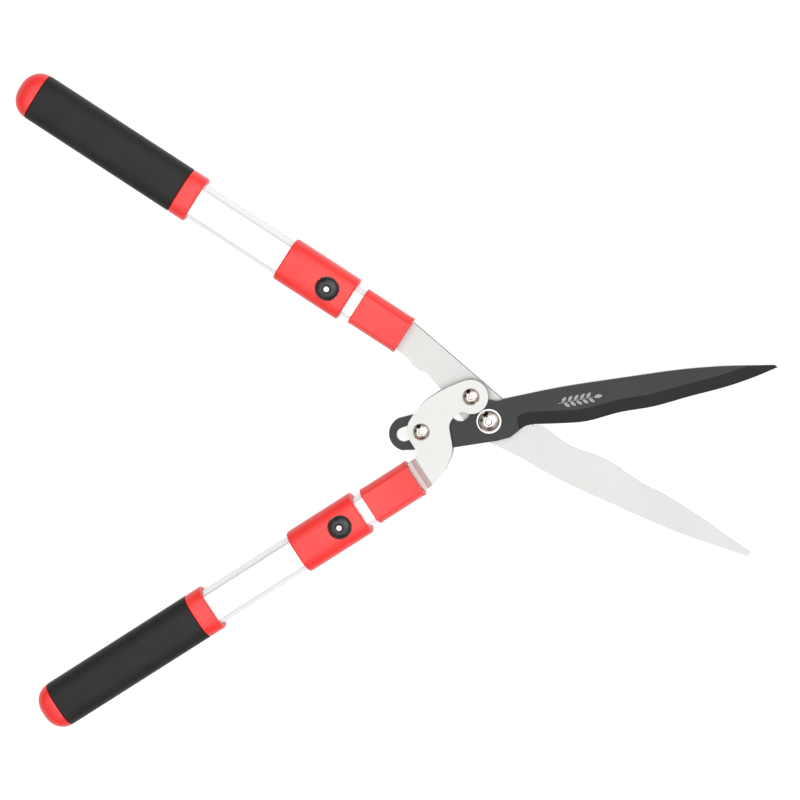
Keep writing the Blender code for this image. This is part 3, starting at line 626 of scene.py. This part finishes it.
def extrusion(front, back, half, top, grooves):
    """A tube with fine extrusion lines along its top."""
    outer = tube_section(half, top, 1.2, grooves)
    inner = tube_section(half - WALL, top - WALL, 0.6, grooves)
    rings = [ring_at(front, outer), ring_at(back, outer), ring_at(back, inner), ring_at(front, inner)]
    return skinned(rings, hollow=True)


def make_inner_tube(side, place, body):
    """The inner tube, with its keyhole slot and the countersinks of the rivets."""
    low = INNER_TOP - WALL - 1
    last = LOCK_X + LOCK_PITCH * (LOCK_HOLES - 1)
    cutters = [block((LOCK_X, -KEYWAY_HALF, low), (last, KEYWAY_HALF, INNER_TOP + 1))]
    for i in range(LOCK_HOLES):
        hole = [(KEYHOLE_RADIUS, low), (KEYHOLE_RADIUS, INNER_TOP + 1)]
        cutters.append(post(LOCK_X + LOCK_PITCH * i, hole, 40))
    reach = RIVET_RADIUS + GAP
    wide = reach + WALL + 1
    sink = [(wide, INNER_TOP + 1), (reach, INNER_TOP - WALL), (reach, WALL - INNER_TOP),
            (wide, -INNER_TOP - 1)]
    cutters += [post(x, sink, 32) for x in RIVETS.values()]
    tube = extrusion(INNER_FRONT, INNER_BACK, INNER_HALF, INNER_TOP, INNER_LINES[side])
    piece(side + "_inner_extrusion", tube, "anodised_tube", place, body, [side + "_inner_tube"], cutters)


def make_guide_bush(side, place, body):
    spigot = tube_section(INNER_HALF - WALL - GAP, INNER_TOP - WALL - GAP, 0.6)
    flange = tube_section(OUTER_HALF - WALL - GAP, OUTER_TOP - WALL - GAP, 0.9)
    rings = [ring_at(INNER_BACK - 12, spigot), ring_at(INNER_BACK + GAP, spigot),
             ring_at(INNER_BACK + GAP, flange), ring_at(INNER_BACK + 7, flange)]
    piece(side + "_bush_moulding", skinned(rings), "black_plastic", place, body, [side + "_guide_bush"])


def make_outer_tube(side, place, body):
    pin_low = OUTER_TOP - WALL - 0.5
    pin_hole = post(LOCK_X, [(PIN_HOLE_RADIUS, pin_low), (PIN_HOLE_RADIUS, OUTER_TOP + 1)], 32)
    screw_high = WALL + 0.4 - OUTER_TOP
    screw_hole = post(SCREW_X, [(SCREW_RADIUS, -OUTER_TOP - 1), (SCREW_RADIUS, screw_high)], 24)
    tube = extrusion(OUTER_FRONT, OUTER_BACK, OUTER_HALF, OUTER_TOP, OUTER_LINES[side])
    piece(side + "_outer_extrusion", tube, "anodised_tube", place, body, [side + "_outer_tube"],
          [pin_hole, screw_hole])


def seen_from_inside(section, outer):
    """Points of a closed section that lie in the directions of another section's points."""
    closed = [Vector(point) for point in (*section, section[0])]
    made = []
    for point in outer:
        ray = Vector(point)
        for start, end in zip(closed, closed[1:]):
            edge = end - start
            turn = ray.cross(edge)
            if abs(turn) > 1e-9 and start.cross(edge) / turn > 0 and -1e-9 <= start.cross(ray) / turn <= 1:
                made.append(tuple(ray * (start.cross(edge) / turn)))
                break
    return made


def moulding(front, back, half, top, fillet, bores):
    """An oval moulded ring with rounded ends, around a bore given as (x, section) pairs."""
    rings = [ring_at(x, oval_section(half - inset, top - inset))
             for x, inset in quarter(front, back, fillet)]
    rings += [ring_at(x, seen_from_inside(section, oval_section(half, top))) for x, section in bores]
    return skinned(rings, hollow=True)


def make_housing(side, place, body):
    """Moulded lock housing with a chamfered well for the button and a screw hole below."""
    tube_bore = tube_section(OUTER_HALF + GAP, OUTER_TOP + GAP)
    neck_bore = tube_section(INNER_HALF + 0.4, INNER_TOP + 0.4)
    bores = [(HOUSING_BACK, tube_bore), (OUTER_FRONT - GAP, tube_bore), (OUTER_FRONT - GAP, neck_bore),
             (HOUSING_FRONT, neck_bore)]
    well = [(WELL_RADIUS, OUTER_TOP - 0.5), (WELL_RADIUS, MID_Z - 0.3), (WELL_RADIUS + 0.25, MID_Z - 0.02),
            (WELL_RADIUS + 2.25, MID_Z + 2)]
    screw = [(SCREW_RADIUS, -OUTER_TOP + 1), (SCREW_RADIUS, -MID_Z + 2.2), (3.9, -MID_Z - 0.1),
             (3.9, -MID_Z - 1)]
    body_mesh = moulding(HOUSING_FRONT, HOUSING_BACK, HOUSING_HALF, MID_Z, 1.8, bores)
    piece(side + "_housing_moulding", body_mesh, "red_plastic", place, body, [side + "_lock_housing"],
          [post(LOCK_X, well, 72), post(SCREW_X, screw, 40)])


def make_housing_mark(side, place, body):
    """A raised mark on the housing's top: a plain double-headed arrow, or one small dot."""
    if side == "upper":
        outline = [(86, 0), (90.5, 4.2), (90.5, 1.6), (98.5, 1.6), (98.5, 4.2), (103, 0), (98.5, -4.2),
                   (98.5, -1.6), (90.5, -1.6), (90.5, -4.2)]
    else:
        outline = [(94.5 + 1.1 * math.cos(math.tau * i / 24), 1.1 * math.sin(math.tau * i / 24))
                   for i in range(24)]
    high = MID_Z + 0.15
    bm = slab(outline, MID_Z - 0.12, high)
    rim = [edge for edge in bm.edges if all(abs(vert.co.z - high) < 1e-4 for vert in edge.verts)]
    bmesh.ops.bevel(bm, geom=rim, offset=0.12, segments=3, profile=0.5, affect="EDGES")
    piece(side + "_housing_mark", bm, "red_plastic", place, body)


def coil(tall):
    """The wire of the lock spring, wound upwards from its seat."""
    count = int(SPRING_TURNS * SPRING_STEPS)
    rings = []
    for i in range(count + 1):
        a = math.tau * i / SPRING_STEPS
        z = SPRING_LOW + SPRING_WIRE + (tall - 2 * SPRING_WIRE) * i / count
        ring = []
        for k in range(10):
            b = math.tau * k / 10
            reach = SPRING_RADIUS + SPRING_WIRE * math.cos(b)
            ring.append((reach * math.cos(a), reach * math.sin(a), z + SPRING_WIRE * math.sin(b)))
        rings.append(ring)
    return skinned(rings)


def make_lock(side, place, body, carrier):
    """Button, pin and spring; the spring stays on the handle."""
    here = place @ Matrix.Translation((LOCK_X * MM, 0, 0))
    piece(side + "_button_moulding", turned(BUTTON_PROFILE, hollow=True), "black_plastic", here, body,
          [side + "_lock_button"])
    piece(side + "_pin_turned", turned(PIN_PROFILE, steps=40), "bright_nickel", here, body,
          [side + "_lock_pin"])

    tall = SPRING_HIGH - SPRING_LOW
    spring = piece(side + "_spring_coil", coil(tall), "spring_steel", here, carrier,
                   [side + "_lock_spring"])
    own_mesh(spring)


def make_grip(side, place, body):
    """Red collar, soft grip and the domed cap that plugs the tube."""
    bore = tube_section(OUTER_HALF + GAP, OUTER_TOP + GAP)
    collar = moulding(COLLAR_FRONT, COLLAR_BACK, GRIP_HALF, MID_Z, 1.6,
                      [(COLLAR_BACK, bore), (COLLAR_FRONT, bore)])
    piece(side + "_collar_moulding", collar, "red_plastic", place, body, [side + "_grip_collar"])
    grip = moulding(GRIP_FRONT, GRIP_BACK, GRIP_HALF, MID_Z, 0.9, [(GRIP_BACK, bore), (GRIP_FRONT, bore)])
    piece(side + "_grip_foam", grip, "grip_rubber", place, body, [side + "_grip"])

    dome = GRIP_BACK + GAP
    rings = []
    steps = 16
    last = math.radians(86)
    for i in range(steps + 1):
        a = last * i / steps
        reach = math.cos(a) ** 0.9
        section = oval_section((GRIP_HALF - 0.1) * reach, (MID_Z - 0.1) * reach)
        rings.append(ring_at(dome + (CAP_BACK - dome) * math.sin(a) / math.sin(last), section))
    plug = seen_from_inside(tube_section(OUTER_HALF - WALL - GAP, OUTER_TOP - WALL - GAP),
                            oval_section(GRIP_HALF, MID_Z))
    rings = [ring_at(OUTER_BACK - 12, plug), ring_at(dome, plug), *rings]
    piece(side + "_cap_moulding", skinned(rings), "red_plastic", place, body, [side + "_end_cap"])


def make_screw(side, place, body):
    profile = [(AXIS, -OUTER_TOP + WALL + GAP), (1.3, -OUTER_TOP + WALL + GAP), (1.3, -MID_Z + 2.0),
               (2.9, -MID_Z + 0.75), (2.9, -MID_Z + 0.6), (2.2, -MID_Z + 0.5), (AXIS, -MID_Z + 0.45)]
    here = place @ Matrix.Translation((SCREW_X * MM, 0, 0))
    cross = [block((-1.6, -0.28, -MID_Z), (1.6, 0.28, -MID_Z + 1.3)),
             block((-0.28, -1.6, -MID_Z), (0.28, 1.6, -MID_Z + 1.3))]
    piece(side + "_screw_turned", turned(profile, steps=40), "bright_nickel", here, body,
          [side + "_housing_screw"], cross)


def make_handle(side):
    origin, angle, root, tang = HANDLES[side]
    place = at(origin, MID_Z, angle)
    carrier = side + "_extension"
    make_sleeve(side, place, root, tang)
    make_tang_fittings(side, place, root, tang)
    make_inner_tube(side, place, root)
    make_guide_bush(side, place, root)
    make_outer_tube(side, place, carrier)
    make_housing(side, place, carrier)
    make_housing_mark(side, place, carrier)
    make_screw(side, place, carrier)
    make_lock(side, place, side + "_lock", carrier)
    make_grip(side, place, carrier)


# ---- studio ---------------------------------------------------------------------------------


def make_floor():
    """A pale floor that glows a little, as on a light table."""
    bm = bmesh.new()
    bmesh.ops.create_grid(bm, x_segments=1, y_segments=1, size=FLOOR_HALF)
    mesh = bpy.data.meshes.new("floor")
    bm.to_mesh(mesh)
    bm.free()
    made = bpy.data.objects.new("floor", mesh)
    made.location.z = FLOOR_Z
    bpy.context.scene.collection.objects.link(made)
    look = bpy.data.materials.new("floor")
    look.use_nodes = True
    shader = look.node_tree.nodes["Principled BSDF"]
    shader.inputs["Base Color"].default_value = (FLOOR_GREY, FLOOR_GREY, FLOOR_GREY, 1)
    shader.inputs["Roughness"].default_value = 0.9
    shader.inputs["Specular IOR Level"].default_value = 0.0
    shader.inputs["Emission Color"].default_value = (1, 1, 1, 1)
    shader.inputs["Emission Strength"].default_value = FLOOR_GLOW
    mesh.materials.append(look)


def make_world():
    """A studio dome: bright overhead, dimmer towards the horizon, with dark flags and a soft key light."""
    world = bpy.data.worlds.new("studio")
    bpy.context.scene.world = world
    world.use_nodes = True
    tree = world.node_tree
    where = add_node(tree, "ShaderNodeTexCoord").outputs["Generated"]
    height = add_node(tree, "ShaderNodeSeparateXYZ", [("Vector", where)]).outputs["Z"]
    ramp = add_node(tree, "ShaderNodeValToRGB", [("Fac", height)])
    elements = ramp.color_ramp.elements
    while len(elements) < len(DOME):
        elements.new(0.5)
    for element, (spot, value) in zip(elements, DOME):
        element.position = spot
        element.color = (value, value, value, 1)
    light = None
    for towards, inner, outer, dim in FLAGS:
        facing = add_node(tree, "ShaderNodeVectorMath", [(0, where), (1, Vector(towards).normalized())],
                          operation="DOT_PRODUCT").outputs["Value"]
        full = DOME_STRENGTH if light is None else 1.0
        inputs = [("Value", facing), ("From Min", math.cos(math.radians(outer))),
                  ("From Max", math.cos(math.radians(inner))), ("To Min", full), ("To Max", full * dim)]
        share = add_node(tree, "ShaderNodeMapRange", inputs).outputs["Result"]
        if light is not None:
            share = add_node(tree, "ShaderNodeMath", [(0, light), (1, share)],
                             operation="MULTIPLY").outputs["Value"]
        light = share
    back = tree.nodes["Background"]
    tree.links.new(ramp.outputs["Color"], back.inputs["Color"])
    tree.links.new(light, back.inputs["Strength"])


def make_camera():
    """Nearly overhead, tipped a little towards +X and +Y."""
    look_at = Vector(CAMERA_LOOKS_AT)
    towards = Vector(CAMERA_SIDE).normalized()
    right = Vector((0, 1, 0)).cross(towards).normalized()
    up = towards.cross(right)
    data = bpy.data.cameras.new("camera")
    data.sensor_width = SENSOR_WIDTH
    data.lens = LENS
    data.clip_end = 20.0
    made = bpy.data.objects.new("camera", data)
    bpy.context.scene.collection.objects.link(made)
    turn = Matrix((right, up, towards)).transposed().to_4x4()
    made.matrix_world = Matrix.Translation(look_at + towards * CAMERA_DISTANCE) @ turn
    bpy.context.scene.camera = made


make_camera()
make_plate("silver_blade", "satin_steel", "fixed_blade", BLADE_ROUNDING)
make_plate("dark_cutting_blade", "dark_coating", "cutting_blade", BLADE_ROUNDING, "dark_bevel", "dark_bevel")
make_plate("lever_plate_front", "plate_steel", "lever", LEVER_ROUNDING)
make_plate("lever_plate_back", "plate_steel", "lever", LEVER_ROUNDING)
make_blade_mark()
make_fasteners()
make_handle("upper")
make_handle("lower")
make_floor()
make_world()
bpy.context.scene.view_settings.view_transform = "Standard"
